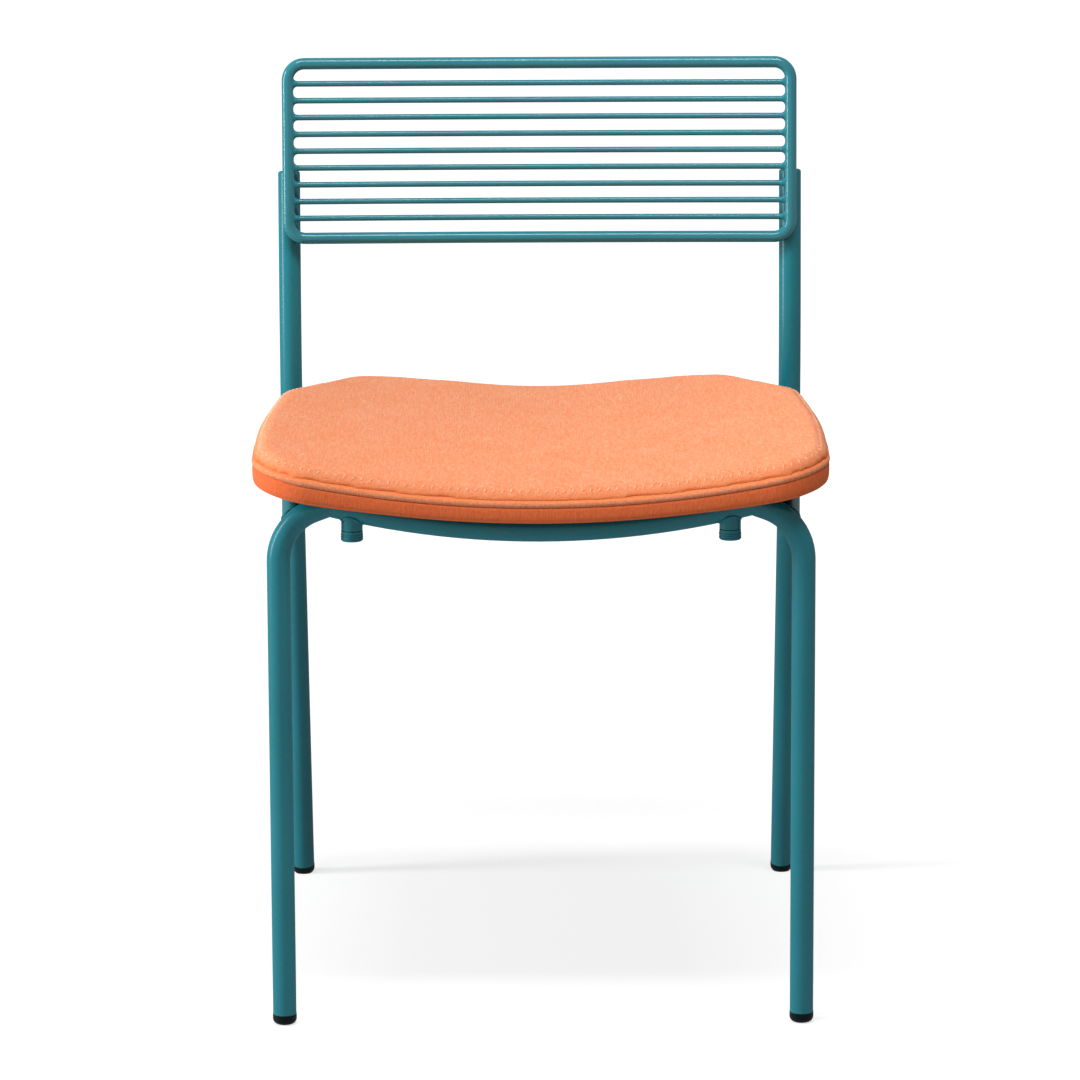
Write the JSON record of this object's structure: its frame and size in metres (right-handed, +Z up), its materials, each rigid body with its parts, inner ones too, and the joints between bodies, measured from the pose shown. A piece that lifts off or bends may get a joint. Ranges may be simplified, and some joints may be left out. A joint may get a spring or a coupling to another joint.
{
  "type": "metal dining chair",
  "caption": "Stacking dining chair: bent and welded steel tube frame, wire back in a rounded rod hoop, and an upholstered saddle seat with a welted edge.",
  "frame": {"origin": "on the floor, at the middle of the chair's width and depth", "axes": "+Z up, -Y to the front of the chair, +X to the right seen from the front"},
  "size_m": [0.4652, 0.5234, 0.7479],
  "materials": {
    "frame_paint": "satin powder coat, teal",
    "seat_fabric": "soft woven upholstery, orange",
    "glide_rubber": "matte black",
    "bumper_plastic": "matte, frame colour",
    "plywood": "moulded plywood, unfinished",
    "foam": "cut polyurethane foam",
    "base_cloth": "black non-woven cloth",
    "spacer_plastic": "moulded black",
    "zinc_steel": "zinc plated"
  },
  "bodies": {
    "root": {"back_hoop": "frame_paint", "back_wire_1": "frame_paint", "back_wire_2": "frame_paint", "back_wire_3": "frame_paint", "back_wire_4": "frame_paint", "back_wire_5": "frame_paint", "back_wire_6": "frame_paint", "back_wire_7": "frame_paint", "back_wire_8": "frame_paint", "back_wire_9": "frame_paint", "front_glide_left": "glide_rubber", "front_glide_right": "glide_rubber", "front_leg_left": "frame_paint", "front_leg_right": "frame_paint", "front_rail": "frame_paint", "post_cap_left": "frame_paint", "post_cap_right": "frame_paint", "rear_glide_left": "glide_rubber", "rear_glide_right": "glide_rubber", "rear_leg_left": "frame_paint", "rear_leg_right": "frame_paint", "rear_rail": "frame_paint", "seat_base_cloth": "base_cloth", "seat_board": "plywood", "seat_cover_band": "seat_fabric", "seat_cover_top": "seat_fabric", "seat_foam": "foam", "seat_screws": "zinc_steel", "seat_spacers": "spacer_plastic", "seat_tnuts": "zinc_steel", "seat_washers": "zinc_steel", "seat_welt": "seat_fabric", "side_rail_left": "frame_paint", "side_rail_right": "frame_paint", "stack_bumper_left": "bumper_plastic", "stack_bumper_right": "bumper_plastic", "stack_stub_left": "frame_paint", "stack_stub_right": "frame_paint"}
  },
  "joints": []
}
